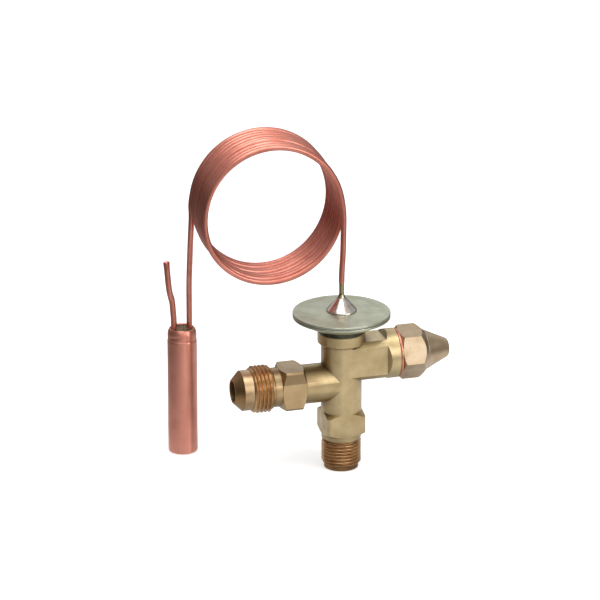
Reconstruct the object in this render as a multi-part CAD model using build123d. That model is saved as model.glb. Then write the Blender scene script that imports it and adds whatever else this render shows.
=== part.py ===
from build123d import *
import os
from math import pi, radians, sqrt, tan

os.makedirs("parts", exist_ok=True)

# Thermostatic expansion valve: a forged brass body with three arms, a diaphragm
# head on top and a copper capillary that ends in a sensing bulb. Millimetres.
# The origin is the middle of the inlet's end face, +Z runs up the column, +X
# runs along the adjusting arm and the outlet arm points along -X.

# ---- forged body --------------------------------------------------------
wrench_flats = 16.0          # across flats of every square on the body
wrench_corners = 21.2        # turned diameter over the corners of the squares
wrench_length = 7.0          # full corners, between the two chamfers
chamfer_slope = tan(radians(30))
column_dia = 16.34           # leaves a narrow flat where it meets the squares
arm_dia = 15.8
outlet_height = 36.6
adjuster_height = 46.1
running_gap = 0.05           # on the radius of everything that turns or slides
groove_depth = 0.6134        # of a 60 degree thread, as a share of its pitch

# inlet, 5/8-18 UNF flare end for 3/8 in tube
inlet_thread_dia = 15.875
inlet_pitch = 25.4 / 18
inlet_grooves = 6
inlet_first_groove = 3.7
inlet_nose_dia = 10.4
inlet_nose_length = 2.4
inlet_thread_end = 11.8
inlet_relief_end = 12.9
inlet_square_start = 16.0

# outlet, 3/4-16 UNF flare end for 1/2 in tube, measured from the column's axis
outlet_thread_dia = 19.05
outlet_pitch = 25.4 / 16
outlet_grooves = 4
outlet_first_groove = 31.6
outlet_nose_dia = 9.8
outlet_reach = 45.1
outlet_nose_start = 41.9
outlet_pilot_dia = 16.2
outlet_thread_outer = 37.9
outlet_thread_inner = 30.2
outlet_square_outer = 24.9
outlet_bore_dia = 8.2

# adjusting arm
adjuster_collar_dia = 20.0
adjuster_flats_end = 17.0
adjuster_runout = 1.3
adjuster_collar_end = 22.3
spigot_dia = 15.0
spigot_end = 29.8
slider_bore_dia = 9.0
slider_bore_end = -4.6
gland_bore_dia = 11.2
gland_bore_start = 15.2

# column bores, from the inlet up
strainer_bore_dia = 8.5
cartridge_shoulder = 13.0
cartridge_bore_dia = 7.2
chamber_floor = 27.5
chamber_dia = 8.0
chamber_top = 39.0
guide_hole_dia = 4.44
equalising_hole_dia = 1.2
equalising_hole_offset = 3.0
spring_bore_dia = 9.6
spring_bore_floor = 43.4
neck_collar_dia = 19.2
neck_collar_start = 53.0
neck_top = 57.7
socket_dia = 14.0

# ---- superheat adjustment -----------------------------------------------
spindle_dia = 6.0
spindle_groove = 0.8
wedge_slope = 0.4
wedge_tip = -2.4
wedge_tip_height = 45.6
block_start, block_end = 7.2, 12.8
fork_slot, fork_width = 3.0, 6.8
fork_floor = 43.4
seat_top = 51.2
spring_pilot_dia = 5.8
spring_top = 61.0

# ---- push rod, needle and orifice cartridge ------------------------------
push_rod_dia = 2.0
rod_foot, rod_top = 31.0, 62.5
seat_cone_start, seat_cone_end = 25.0, 26.2
needle_chamber_dia = 4.8
orifice_dia = 2.6
cartridge_top = 29.0
needle_head_dia = 3.8
needle_shelf = 22.0
plug_top = 14.0
cartridge_groove = 0.68

# ---- diaphragm head -------------------------------------------------------
head_dia = 39.0
sleeve_top = 60.0
rim_bottom, rim_top = 63.7, 65.8
diaphragm_floor = 64.75
diaphragm_thickness = 0.15
crown_top = 66.35
nozzle_base_dia = 12.3
nozzle_top = 77.9
nipple_dia = 2.0
cover_thickness = 1.0
cover_bore = 12.0
charge_hole = 3.0

# ---- seal cap --------------------------------------------------------------
cap_start = 23.35
cap_hex_flats = 19.0
cap_hex_tilt = -20.0         # turns the hexagon about the arm
cap_corner_end = 31.2
cap_cone_start = 34.3
cap_cone_start_dia = 16.4
cap_tip = 44.3
cap_tip_dia = 7.5

# ---- capillary, coil and bulb ------------------------------------------------
capillary_dia = 2.3
coil_radius = 28.0           # to the middle of the tube
coil_turns = 8.5             # wound side by side, each touching the next
coil_front = 2.6             # middle of the front turn, along Y
coil_centre = (-26.9, 107.5)     # of the front turn, across and up
coil_slant = (-0.016, 0.093)     # how far the turns shift across and up for each mm back
bulb_dia = 12.0
bulb_centre = (-56.6, 34.0)
bulb_wall = 0.9
bulb_bead_height = 48.2
bulb_top = 53.0
bulb_mouth_dia = 9.2
bulb_port = 3.1              # capillary's offset towards +X
fill_port = 3.3              # fill tube's offset towards -X
fill_tube_dia = 2.4


def turned(*points):
    """Solid turned about Z from corner points given as (radius, height)."""
    outline = Polyline([(radius, 0, height) for radius, height in points], close=True)
    return revolve(make_face(outline), axis=Axis.Z)


def ring(outer_dia, inner_dia, start, end):
    """Plain ring about Z."""
    return turned((inner_dia / 2, start), (outer_dia / 2, start),
                  (outer_dia / 2, end), (inner_dia / 2, end))


def rod(dia, start, end):
    """Plain round bar about Z."""
    return Pos(0, 0, start) * Cylinder(dia / 2, end - start,
                                       align=(Align.CENTER, Align.CENTER, Align.MIN))


def to_adjuster(solid):
    """Turn a solid made about Z onto the adjusting arm, pointing along +X."""
    return Pos(0, 0, adjuster_height) * Rot(0, 90, 0) * solid


def to_outlet(solid):
    """Turn a solid made about Z onto the outlet arm, pointing along -X."""
    return Pos(0, 0, outlet_height) * Rot(0, -90, 0) * solid


def wrench_square(start, below_dia, above_dia):
    """Square for a spanner: full corners from start, both ends turned at 30 degrees."""
    corner = wrench_corners / 2
    end = start + wrench_length
    low = start - (corner - below_dia / 2) * chamfer_slope
    high = end + (corner - above_dia / 2) * chamfer_slope
    envelope = turned((0, low), (below_dia / 2, low), (corner, start), (corner, end),
                      (above_dia / 2, high), (0, high))
    block = Pos(0, 0, low) * Box(wrench_flats, wrench_flats, high - low,
                                 align=(Align.CENTER, Align.CENTER, Align.MIN))
    return envelope & block


def thread_grooves(crest_dia, pitch, first, count):
    """Rings with a 60 degree V section, to be cut about Z in place of a thread's turns."""
    crest = crest_dia / 2
    root = crest - groove_depth * pitch
    outside = crest + 0.2
    half = (outside - root) * tan(radians(30))
    middles = [first + index * pitch for index in range(count)]
    return [turned((root, middle), (outside, middle - half), (outside, middle + half))
            for middle in middles]


def body_column():
    """Inlet fitting, inlet square, column and neck, before the bores."""
    thread = inlet_thread_dia / 2
    lead = thread - inlet_nose_dia / 2
    fitting = turned(
        (0, 0), (inlet_nose_dia / 2, 0), (thread, lead), (thread, inlet_thread_end),
        (thread - 0.6, inlet_thread_end), (thread - 0.6, inlet_relief_end),
        (thread, inlet_relief_end), (thread, inlet_square_start), (0, inlet_square_start))
    column = rod(column_dia, inlet_square_start, neck_top)
    flats = Pos(0, 0, inlet_square_start) * Box(
        column_dia, wrench_flats, neck_top - inlet_square_start,
        align=(Align.CENTER, Align.CENTER, Align.MIN))
    square = wrench_square(inlet_square_start, inlet_thread_dia, column_dia)
    collar = turned((0, neck_collar_start), (neck_collar_dia / 2 - 0.5, neck_collar_start),
                    (neck_collar_dia / 2, neck_collar_start + 0.5),
                    (neck_collar_dia / 2, neck_top - 0.3),
                    (neck_collar_dia / 2 - 0.3, neck_top), (0, neck_top))
    fitting -= thread_grooves(inlet_thread_dia, inlet_pitch, inlet_first_groove, inlet_grooves)
    return fitting + (column & flats) + square + collar


def outlet_arm():
    """Outlet arm, its square and its flare end, made about Z from the column's axis."""
    thread = outlet_thread_dia / 2
    pilot = outlet_pilot_dia / 2
    arm = rod(arm_dia, 0, outlet_thread_inner)
    square = wrench_square(outlet_square_outer - wrench_length, arm_dia, arm_dia)
    fitting = turned(
        (0, outlet_thread_inner - 1.2), (thread - 1.9, outlet_thread_inner - 1.2),
        (thread - 0.5, outlet_thread_inner), (thread, outlet_thread_inner + 0.5),
        (thread, outlet_thread_outer - 1.0), (thread - 1.0, outlet_thread_outer),
        (pilot, outlet_thread_outer), (pilot, outlet_nose_start),
        (outlet_nose_dia / 2, outlet_reach), (0, outlet_reach))
    fitting -= thread_grooves(outlet_thread_dia, outlet_pitch, outlet_first_groove,
                              outlet_grooves)
    return to_outlet(arm + square + fitting)


def adjusting_arm():
    """Square arm with turned corners that runs out into a round collar and a spigot."""
    radius = adjuster_collar_dia / 2
    runout_end = adjuster_flats_end + adjuster_runout
    low = (Align.CENTER, Align.CENTER, Align.MIN)
    flats = Box(wrench_flats, wrench_flats, adjuster_flats_end, align=low)
    runout = loft([Plane.XY.offset(adjuster_flats_end) * Rectangle(wrench_flats, wrench_flats),
                   Plane.XY.offset(runout_end) * Rectangle(2 * radius, 2 * radius)])
    collar = Pos(0, 0, runout_end) * Box(
        2 * radius, 2 * radius, adjuster_collar_end - runout_end, align=low)
    turned_bar = turned((0, 0), (radius, 0), (radius, adjuster_collar_end - 0.3),
                        (radius - 0.3, adjuster_collar_end), (0, adjuster_collar_end))
    spigot = turned((0, adjuster_collar_end), (spigot_dia / 2, adjuster_collar_end),
                    (spigot_dia / 2, spigot_end - 0.7), (spigot_dia / 2 - 0.7, spigot_end),
                    (0, spigot_end))
    return to_adjuster(turned_bar & (flats + runout + collar)) + to_adjuster(spigot)


def body_bores():
    """Everything drilled and bored out of the body."""
    inlet = rod(strainer_bore_dia, -1, cartridge_shoulder)
    cartridge = rod(cartridge_bore_dia, cartridge_shoulder, chamber_floor)
    chamber = rod(chamber_dia, chamber_floor, chamber_top)
    guide = rod(guide_hole_dia, chamber_top, spring_bore_floor)
    equaliser = Pos(equalising_hole_offset, 0, 0) * rod(
        equalising_hole_dia, chamber_top - 1, spring_bore_floor + 1)
    spring = rod(spring_bore_dia, spring_bore_floor, neck_collar_start)
    socket = rod(socket_dia, neck_collar_start, neck_top + 1)
    outlet = to_outlet(rod(outlet_bore_dia, 1, outlet_reach + 1))
    slider = to_adjuster(rod(slider_bore_dia, slider_bore_end, gland_bore_start))
    gland = to_adjuster(rod(gland_bore_dia, gland_bore_start, spigot_end + 1))
    return (inlet + cartridge + chamber + guide + equaliser + spring + socket
            + outlet + slider + gland)


def valve_body():
    return body_column() + outlet_arm() + adjusting_arm() - body_bores()


def coil_spring(mean_dia, wire_dia, start, end, turns):
    """Compression spring about Z with flat ground ends and square wire."""
    height = end - start
    path = Helix(pitch=(height + wire_dia) / turns, height=height + wire_dia,
                 radius=mean_dia / 2)
    wire = Plane(origin=path @ 0, z_dir=path % 0) * RegularPolygon(wire_dia / 2, 4)
    spring = Pos(0, 0, start - wire_dia / 2) * sweep(wire, path=path, is_frenet=True)
    room = Pos(0, 0, start) * Cylinder(mean_dia, height,
                                       align=(Align.CENTER, Align.CENTER, Align.MIN))
    return spring & room


def orifice_cartridge():
    """Brass cartridge that carries the valve seat, clamped below the outlet chamber."""
    body = cartridge_bore_dia / 2 - 0.1
    groove = body - cartridge_groove
    inside = needle_chamber_dia / 2
    return turned(
        (inside, cartridge_shoulder - 1.2), (strainer_bore_dia / 2 - 0.1, cartridge_shoulder - 1.2),
        (strainer_bore_dia / 2 - 0.1, cartridge_shoulder), (body, cartridge_shoulder),
        (body, 22.4), (groove, 22.4), (groove, 23.8), (body, 23.8), (body, chamber_floor - 0.4),
        (body - 0.9, cartridge_top), (orifice_dia / 2, cartridge_top),
        (orifice_dia / 2, seat_cone_end), (inside, seat_cone_start))


def cartridge_seal():
    """Square-cut ring in the cartridge's groove."""
    groove_dia = cartridge_bore_dia - 0.2 - 2 * cartridge_groove
    return ring(cartridge_bore_dia - 0.02, groove_dia + 0.02, 22.5, 23.7)


def cartridge_plug():
    """Screwed plug under the needle's spring, with the liquid's inlet hole."""
    plug = ring(needle_chamber_dia - 0.04, 1.6, plug_top - 2, plug_top)
    slot = Pos(0, 0, plug_top - 2) * Box(needle_chamber_dia, 0.8, 1.2)
    return plug - slot


def valve_needle():
    """Needle below the seat, with the pin that passes up through the orifice."""
    shift = 0.08
    slope = (needle_chamber_dia - orifice_dia) / 2 / (seat_cone_end - seat_cone_start)

    def cone_height(radius):
        return seat_cone_start + (needle_chamber_dia / 2 - shift - radius) / slope

    return turned(
        (0, needle_shelf - 4.5), (1.1, needle_shelf - 4.5), (1.1, needle_shelf),
        (needle_head_dia / 2, needle_shelf), (needle_head_dia / 2, cone_height(needle_head_dia / 2)),
        (1.2, cone_height(1.2)), (0.6, seat_cone_end + 0.3), (0.6, rod_foot), (0, rod_foot))


def strainer_frame():
    """Brass ring and cage that hold the gauze in the inlet."""
    top = cartridge_shoulder - 1.2
    frame = ring(strainer_bore_dia - 0.2, 5.4, top - 1.0, top)
    cage = ring(6.6, 5.4, 3.4, top - 1.0)
    window = Pos(0, 0, (4.6 + top - 1.6) / 2) * Box(8, 1.9, top - 1.6 - 4.6)
    for index in range(3):
        cage -= Rot(0, 0, 60 * index) * window
    floor = rod(6.6, 2.6, 3.4)
    return frame + cage + floor


def strainer_gauze():
    """Gauze sleeve inside the cage."""
    return ring(5.36, 4.9, 3.4, cartridge_shoulder - 1.2)


def push_rod_guide():
    """Bush pressed into the web above the outlet chamber."""
    return ring(guide_hole_dia - 0.04, push_rod_dia + 2 * running_gap,
                chamber_top - 0.8, chamber_top + 2.4)


def push_rod():
    return rod(push_rod_dia, rod_foot, rod_top)


def wedge_room(lift):
    """Everything under the wedge's slope, raised by lift."""
    low, high = wedge_tip - 8, wedge_tip + 24
    outline = Polyline(
        [(low, 0, 30), (high, 0, 30),
         (high, 0, wedge_tip_height + (high - wedge_tip) * wedge_slope + lift),
         (low, 0, wedge_tip_height + (low - wedge_tip) * wedge_slope + lift)], close=True)
    return extrude(make_face(outline), amount=10, dir=(0, 1, 0), both=True)


def wedge_slider():
    """Nut on the spindle with a two-pronged wedge that straddles the push rod."""
    barrel = slider_bore_dia - 2 * running_gap
    nut = rod(barrel, block_start, block_end) - rod(
        spindle_dia + 2 * running_gap, block_start - 1, block_end + 1)
    fork = rod(barrel, wedge_tip, block_start)
    length = block_start - wedge_tip
    middle = (block_start + wedge_tip) / 2
    sides = Pos(0, 0, middle) * Box(barrel, fork_width, length)
    slot = Pos(0, 0, middle) * Box(barrel, fork_slot, length)
    clearance = rod(spindle_dia + 2 * running_gap, block_start - 3.0, block_start)
    prongs = to_adjuster((fork & sides) - slot - clearance) & wedge_room(0)
    floor = Pos(middle, 0, fork_floor - 5) * Box(2 * length, barrel, 10)
    return to_adjuster(nut) + (prongs - floor)


def spring_seat():
    """Seat under the superheat spring, its foot cut to the wedge's slope."""
    bar = spring_bore_dia - 2 * running_gap
    seat = rod(bar, spring_bore_floor, seat_top) + rod(spring_pilot_dia, seat_top, seat_top + 0.8)
    return seat - wedge_room(0.06) - rod(push_rod_dia + 0.6, 40, seat_top + 2)


def adjusting_spindle():
    """Spindle that turns but doesn't rise: flange, seal groove and driver slot."""
    stem = spindle_dia / 2
    flange = gland_bore_dia / 2 - 0.1
    start = gland_bore_start + 0.05
    bar = turned(
        (0, 6.0), (stem, 6.0), (stem, start), (flange, start),
        (flange, start + 1.3), (stem, start + 1.3), (stem, 19.6), (stem - spindle_groove, 19.6),
        (stem - spindle_groove, 21.2), (stem, 21.2), (stem, 30.2), (0, 30.2))
    slot = Pos(0, 0, 29.7) * Box(1.1, spindle_dia + 1, 2.4)
    return to_adjuster(bar - slot)


def spindle_seal():
    """Square-cut ring in the spindle's groove."""
    return to_adjuster(ring(spindle_dia + 2 * running_gap - 0.02,
                            spindle_dia - 2 * spindle_groove + 0.02, 19.7, 21.1))


def spindle_washer():
    return to_adjuster(ring(gland_bore_dia - 0.2, spindle_dia + 0.2, 16.62, 17.2))


def gland_nut():
    """Round nut that keeps the spindle in, with two slots for a pin spanner."""
    nut = turned((spindle_dia / 2 + running_gap, 17.2), (gland_bore_dia / 2 - 0.04, 17.2),
                 (gland_bore_dia / 2 - 0.04, 26.6), (gland_bore_dia / 2 - 0.6, 27.2),
                 (spindle_dia / 2 + running_gap, 27.2))
    slot = Pos(0, 0, 27.2) * Box(gland_bore_dia, 1.3, 2.4)
    return to_adjuster(nut - slot)


def cap_washer():
    return to_adjuster(ring(adjuster_collar_dia - 0.2, spigot_dia + 0.3,
                            adjuster_collar_end, cap_start - 0.05))


def seal_cap():
    """Cap nut: hexagon, turned shoulder, cone and a hollow that clears the spindle."""
    across = cap_hex_flats
    corner = across / sqrt(3)
    envelope = turned(
        (0, cap_start), (across / 2, cap_start), (corner, cap_start + 0.9),
        (corner, cap_corner_end), (cap_cone_start_dia / 2, cap_cone_start),
        (cap_tip_dia / 2, cap_tip - 0.4), (cap_tip_dia / 2 - 0.5, cap_tip), (0, cap_tip))
    hexagon = Rot(0, 0, cap_hex_tilt) * Pos(0, 0, cap_start) * extrude(
        RegularPolygon(across / 2, 6, major_radius=False), cap_tip - cap_start)
    hollow = turned(
        (0, cap_start - 1), (spigot_dia / 2 + 0.1, cap_start - 1),
        (spigot_dia / 2 + 0.1, spigot_end + 0.6), (4.2, spigot_end + 2.6), (4.2, 37.0), (0, 37.0))
    return to_adjuster((envelope & hexagon) - hollow)


def superheat_spring():
    return coil_spring(7.5, 1.5, seat_top, spring_top, 4)


def cartridge_spring():
    return coil_spring(3.7, 0.7, plug_top, needle_shelf, 4)


def head_sleeve():
    """Steel sleeve that carries the head and seats in the neck's socket."""
    bore = spring_bore_dia / 2
    flange = neck_collar_dia / 2 - 0.1
    return turned(
        (bore, neck_collar_start), (socket_dia / 2 - 0.04, neck_collar_start),
        (socket_dia / 2 - 0.04, neck_top), (flange, neck_top), (flange, sleeve_top),
        (cover_bore / 2, sleeve_top), (cover_bore / 2, sleeve_top + cover_thickness),
        (bore, sleeve_top + cover_thickness))


def head_lower_cover():
    """Pressed dish, 1 mm thick, from the sleeve out to the rim."""
    rim = head_dia / 2
    inside, outside = sleeve_top + cover_thickness, sleeve_top
    return turned(
        (cover_bore / 2, outside), (10.2, outside), (14.6, 61.25), (17.4, rim_bottom),
        (rim, rim_bottom), (rim, diaphragm_floor), (16.8, diaphragm_floor), (14.0, 62.3),
        (10.0, inside), (cover_bore / 2, inside))


def diaphragm():
    """Thin disc, clamped at the rim, with one ring of corrugation."""
    low, dip = diaphragm_floor, 0.4
    bottom = [(0, low), (11.0, low), (12.4, low - dip), (13.8, low), (head_dia / 2 - 0.6, low)]
    top = [(radius, height + diaphragm_thickness) for radius, height in reversed(bottom)]
    return turned(*bottom, *top)


def seam_weld():
    """Weld that closes the rim round the diaphragm's edge."""
    return ring(head_dia - 0.7, head_dia - 1.1, diaphragm_floor,
                diaphragm_floor + diaphragm_thickness)


def head_upper_cover():
    """Flat cover with a slightly raised crown and a hole for the charge."""
    rim = head_dia / 2
    low = diaphragm_floor + diaphragm_thickness
    return turned(
        (charge_hole / 2, 65.55), (15.0, 65.55), (16.2, low), (rim, low),
        (rim, rim_top - 0.25), (rim - 0.25, rim_top), (16.8, rim_top), (15.6, crown_top),
        (charge_hole / 2, crown_top))


def head_nozzle():
    """Turned cone brazed on the head, ending in the nipple for the capillary."""
    base, neck, nipple = nozzle_base_dia / 2, charge_hole / 2, nipple_dia / 2
    return turned(
        (0.5, crown_top), (base, crown_top), (base, crown_top + 0.35), (neck, 71.9),
        (nipple, 73.2), (nipple, nozzle_top), (0.5, nozzle_top))


def thrust_pad():
    """Plate under the diaphragm that bears on the spring and the push rod."""
    skirt = spring_bore_dia / 2 - 0.2
    top = diaphragm_floor - 0.05
    pad = turned(
        (0, 60.2), (spring_pilot_dia / 2, 60.2), (spring_pilot_dia / 2, spring_top),
        (skirt, spring_top),
        (skirt, 62.6), (9.2, 63.4), (9.2, top), (0, top))
    return pad - rod(push_rod_dia + 0.04, 60, rod_top)


def bent_tube(dia, points):
    """Round tube along straight runs joined by arcs as large as the runs allow."""
    corners = [Vector(point) for point in points]
    radii = []
    for before, corner, after in zip(corners, corners[1:], corners[2:]):
        run_in, run_out = corner - before, after - corner
        turn = radians(run_in.get_angle(run_out))
        shorter = min(run_in.length, run_out.length)
        radii.append(0.45 * shorter / tan(turn / 2))
    print("radii", [round(radius, 1) for radius in radii])
    path = FilletPolyline(*corners, radius=radii)
    start = Plane(origin=path @ 0, z_dir=path % 0)
    tube = sweep(start * Circle(dia / 2), path=path)
    print("length", round(path.length, 2), "filled", round(
        tube.volume / (pi * dia * dia / 4 * path.length), 4))
    return tube


def capillary_riser():
    """Capillary from the head's nipple up to the front turn of the coil."""
    return bent_tube(capillary_dia, [
        (0, 0, nozzle_top), (0, 0, 82.0), (0.7, 0.6, 89.0), (1.2, 1.7, 96.5),
        (1.3, coil_front, 102.5)])


def capillary_coil():
    """Outer shape of the wound coil: a band one tube thick that slants up to the back."""
    across, up = coil_centre
    tube = capillary_dia / 2
    front = Plane(origin=(across, coil_front, up), z_dir=(0, 1, 0))
    band = front * (Circle(coil_radius + tube) - Circle(coil_radius - tube))
    width = coil_turns * capillary_dia
    return extrude(band, amount=width, dir=(coil_slant[0], 1, coil_slant[1]))


def capillary_drop():
    """Capillary from the back turn of the coil down into the bulb."""
    across, depth = bulb_centre
    return bent_tube(capillary_dia, [
        (-55.3, coil_front + coil_turns * capillary_dia, 104.5), (-55.6, 23.0, 95.5),
        (-54.9, 27.2, 84.5), (-53.9, 32.6, 71.5), (across + bulb_port, depth, 60.5),
        (across + bulb_port, depth, bulb_top - 3.0)])


def bulb_shell():
    """Drawn copper bulb: closed round bottom, rolled bead, mouth nosed in."""
    outer, inner = bulb_dia / 2, bulb_dia / 2 - bulb_wall
    neck, mouth = outer - 0.15, bulb_mouth_dia / 2
    return Pos(*bulb_centre, 0) * turned(
        (0, 0), (outer - 1.2, 0), (outer - 0.35, 0.35), (outer, 1.2), (outer, bulb_bead_height),
        (neck, bulb_bead_height + 0.3), (neck, bulb_top - 2.0), (neck - 0.45, bulb_top - 0.8),
        (mouth + 0.5, bulb_top), (mouth, bulb_top), (mouth, bulb_top - 2.0),
        (inner, bulb_top - 2.6), (inner, 1.4), (inner - 0.6, 1.0), (0, 1.0))


def bulb_braze():
    """Braze that fills the bulb's mouth round the two tubes."""
    edge = bulb_mouth_dia / 2 - 0.01
    plug = turned((0, bulb_top - 1.9), (edge, bulb_top - 1.9), (edge, bulb_top - 0.5),
                  (edge - 0.6, bulb_top - 0.3), (0, bulb_top - 0.3))
    plug -= Pos(bulb_port, 0, 0) * rod(capillary_dia + 0.04, 40, 60)
    plug -= Pos(-fill_port, 0, 0) * rod(fill_tube_dia + 0.04, 40, 60)
    return Pos(*bulb_centre, 0) * plug


def fill_tube():
    """Charging tube, bent outwards, its end pinched flat and closed."""
    across, depth = bulb_centre
    points = [(across - fill_port, depth, bulb_top - 2.8), (across - fill_port, depth, 56.5),
              (across - 4.1, depth, 63.8), (across - 5.2, depth, 70.5),
              (across - 5.9, depth, 78.6)]
    tube = bent_tube(fill_tube_dia, points)
    end, before = Vector(points[-1]), Vector(points[-2])
    along = (end - before).normalized()
    start = Plane(origin=end, x_dir=(0, 1, 0), z_dir=along)
    flat = start.offset(2.0) * Ellipse(0.8, 1.35)
    pinch = loft([start * Circle(fill_tube_dia / 2), flat])
    tip = extrude(flat, amount=1.2)
    return tube + pinch + tip


pieces = {
    "valve_body": valve_body,
    "head_sleeve": head_sleeve,
    "head_lower_cover": head_lower_cover,
    "diaphragm": diaphragm,
    "seam_weld": seam_weld,
    "head_upper_cover": head_upper_cover,
    "head_nozzle": head_nozzle,
    "thrust_pad": thrust_pad,
    "push_rod": push_rod,
    "push_rod_guide": push_rod_guide,
    "superheat_spring": superheat_spring,
    "spring_seat": spring_seat,
    "wedge_slider": wedge_slider,
    "adjusting_spindle": adjusting_spindle,
    "spindle_seal": spindle_seal,
    "spindle_washer": spindle_washer,
    "gland_nut": gland_nut,
    "cap_washer": cap_washer,
    "seal_cap": seal_cap,
    "orifice_cartridge": orifice_cartridge,
    "cartridge_seal": cartridge_seal,
    "cartridge_plug": cartridge_plug,
    "cartridge_spring": cartridge_spring,
    "valve_needle": valve_needle,
    "strainer_frame": strainer_frame,
    "strainer_gauze": strainer_gauze,
    "capillary_riser": capillary_riser,
    "capillary_coil": capillary_coil,
    "capillary_drop": capillary_drop,
    "bulb_shell": bulb_shell,
    "bulb_braze": bulb_braze,
    "fill_tube": fill_tube,
}

for name, build in pieces.items():
    export_step(build(), f"parts/{name}.step")
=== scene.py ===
from math import cos, hypot, pi, radians, sin

import bmesh
import bpy
import numpy as np
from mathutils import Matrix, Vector


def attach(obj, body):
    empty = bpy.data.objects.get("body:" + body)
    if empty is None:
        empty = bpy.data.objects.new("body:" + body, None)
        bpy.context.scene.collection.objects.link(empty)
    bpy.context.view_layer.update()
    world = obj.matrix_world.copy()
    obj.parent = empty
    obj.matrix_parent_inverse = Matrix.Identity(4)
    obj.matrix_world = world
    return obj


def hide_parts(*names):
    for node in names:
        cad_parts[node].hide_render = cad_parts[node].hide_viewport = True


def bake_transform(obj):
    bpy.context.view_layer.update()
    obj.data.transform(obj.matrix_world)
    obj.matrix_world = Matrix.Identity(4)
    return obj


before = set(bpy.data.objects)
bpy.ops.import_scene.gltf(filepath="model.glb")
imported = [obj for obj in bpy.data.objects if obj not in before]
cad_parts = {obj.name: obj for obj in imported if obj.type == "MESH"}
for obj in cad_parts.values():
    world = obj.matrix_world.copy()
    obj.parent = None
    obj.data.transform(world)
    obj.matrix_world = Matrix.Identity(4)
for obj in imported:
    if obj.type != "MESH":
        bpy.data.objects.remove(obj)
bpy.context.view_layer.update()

mm = 0.001

# ---- camera ------------------------------------------------------------------
# A long lens stands a little to the left of the front and looks down on the valve. The middle
# of the frame lies to the left of the column and above it, so that the coil and bulb fit in.
azimuth, elevation = radians(-17.05), radians(20.2625)
camera_distance = 1750 * mm
aim = Vector((0, 0, 60 * mm))
frame_left, frame_up = 16.53 * mm, 9.94 * mm
to_camera = Vector((sin(azimuth) * cos(elevation), -cos(azimuth) * cos(elevation), sin(elevation)))
to_right = Vector((cos(azimuth), sin(azimuth), 0))
to_top = to_camera.cross(to_right)

camera_data = bpy.data.cameras.new("camera")
camera_data.sensor_width = 36
camera_data.lens = 264
camera = bpy.data.objects.new("camera", camera_data)
camera.location = aim + camera_distance * to_camera
look_at = aim - frame_left * to_right + frame_up * to_top
camera.rotation_euler = (look_at - camera.location).to_track_quat("-Z", "Y").to_euler()
bpy.context.collection.objects.link(camera)
bpy.context.scene.camera = camera

# ---- capillary ----------------------------------------------------------------
# Drawn copper tube, 2.3 mm thick, from the nipple on the head to the bulb. It is wound
# by hand into eight and a half turns that lie side by side, and its bends are cold made.
tube_dia = 2.3 * mm
nipple_top = 77.9 * mm
riser = [(0, 0, 77.9), (0, 0, 82.0), (0.7, 0.6, 89.0), (1.2, 1.7, 96.5)]
drop = [(-55.3, 22.15, 104.5), (-55.6, 23.0, 95.5), (-54.9, 27.2, 84.5), (-53.9, 32.6, 71.5),
        (-53.5, 34.0, 60.5), (-53.5, 34.0, 50.0)]
coil_turns = 8.5
turn_points = 16
coil_front = 2.6 * mm
coil_middle = (-27.03 * mm, 108.38 * mm)
coil_slant = (-0.016, 0.093)     # sideways and up, for each step back
coil_half_depth = 9.8 * mm
# A quadratic spline runs inside its control points, so they stand a little further out.
coil_radius = 28.0 * mm / cos(pi / turn_points)


def coil_points():
    """Control points of the turns: once round for each tube thickness back, shifted up and left
    towards the back, with the hand winding's slight swell in each turn's radius."""
    count = int(coil_turns * turn_points) + 1
    points = []
    for step in range(count):
        turn = step / turn_points
        depth = turn * tube_dia
        past_middle = depth - coil_half_depth
        swell = 1 + 0.006 * sin(2.4 * turn) + 0.004 * sin(2 * pi * turn * 2 + 1.3 * turn)
        radius = coil_radius * (swell if 0.5 < turn < coil_turns - 0.5 else 1)
        angle = 2 * pi * turn
        points.append((coil_middle[0] + coil_slant[0] * past_middle + radius * cos(angle),
                       coil_front + depth,
                       coil_middle[1] + coil_slant[1] * past_middle + radius * sin(angle)))
    return points


def spline_through(name, points, thickness):
    """Round tube on a smooth spline that has these control points."""
    curve = bpy.data.curves.new(name, "CURVE")
    curve.dimensions = "3D"
    curve.bevel_depth = thickness / 2
    curve.bevel_resolution = 5
    curve.use_fill_caps = True
    spline = curve.splines.new("NURBS")
    spline.points.add(len(points) - 1)
    for point, place in zip(spline.points, points):
        point.co = (*place, 1)
    spline.order_u = 3
    spline.use_endpoint_u = True
    spline.resolution_u = 5
    piece = bpy.data.objects.new(name, curve)
    bpy.context.collection.objects.link(piece)
    return piece


def metres(points):
    """The same points, given in millimetres, in metres."""
    return [(x * mm, y * mm, z * mm) for x, y, z in points]


capillary = spline_through(
    "capillary", metres(riser) + coil_points() + metres(drop), tube_dia)


def linear(colour):
    """sRGB hex to the linear colour that a shader takes."""
    parts = [int(colour[start:start + 2], 16) / 255 for start in (1, 3, 5)]
    return (*[part / 12.92 if part <= 0.04045 else ((part + 0.055) / 1.055) ** 2.4
              for part in parts], 1)


def add_node(material, kind, **values):
    """Adds one node to a material or a world. A capitalised name is a socket, with _ for a space,
    and takes a number or another node's output. Any other name is a setting of the node's own."""
    node = material.node_tree.nodes.new("ShaderNode" + kind)
    for name, value in values.items():
        if name[0].islower():
            setattr(node, name, value)
            continue
        socket = node.inputs[name.replace("_", " ")]
        if isinstance(value, bpy.types.NodeSocket):
            material.node_tree.links.new(value, socket)
        else:
            socket.default_value = value
    return node


def new_material(name):
    """Empty node material: its shader, and the place on the piece that patterns read."""
    material = bpy.data.materials.new(name)
    material.use_nodes = True
    shader = material.node_tree.nodes["Principled BSDF"]
    place = add_node(material, "TexCoord").outputs["Object"]
    return material, shader, place


def connect(material, output, socket):
    """Links a node's output to a socket that has no name of its own or is already there."""
    material.node_tree.links.new(output, socket)


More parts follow.
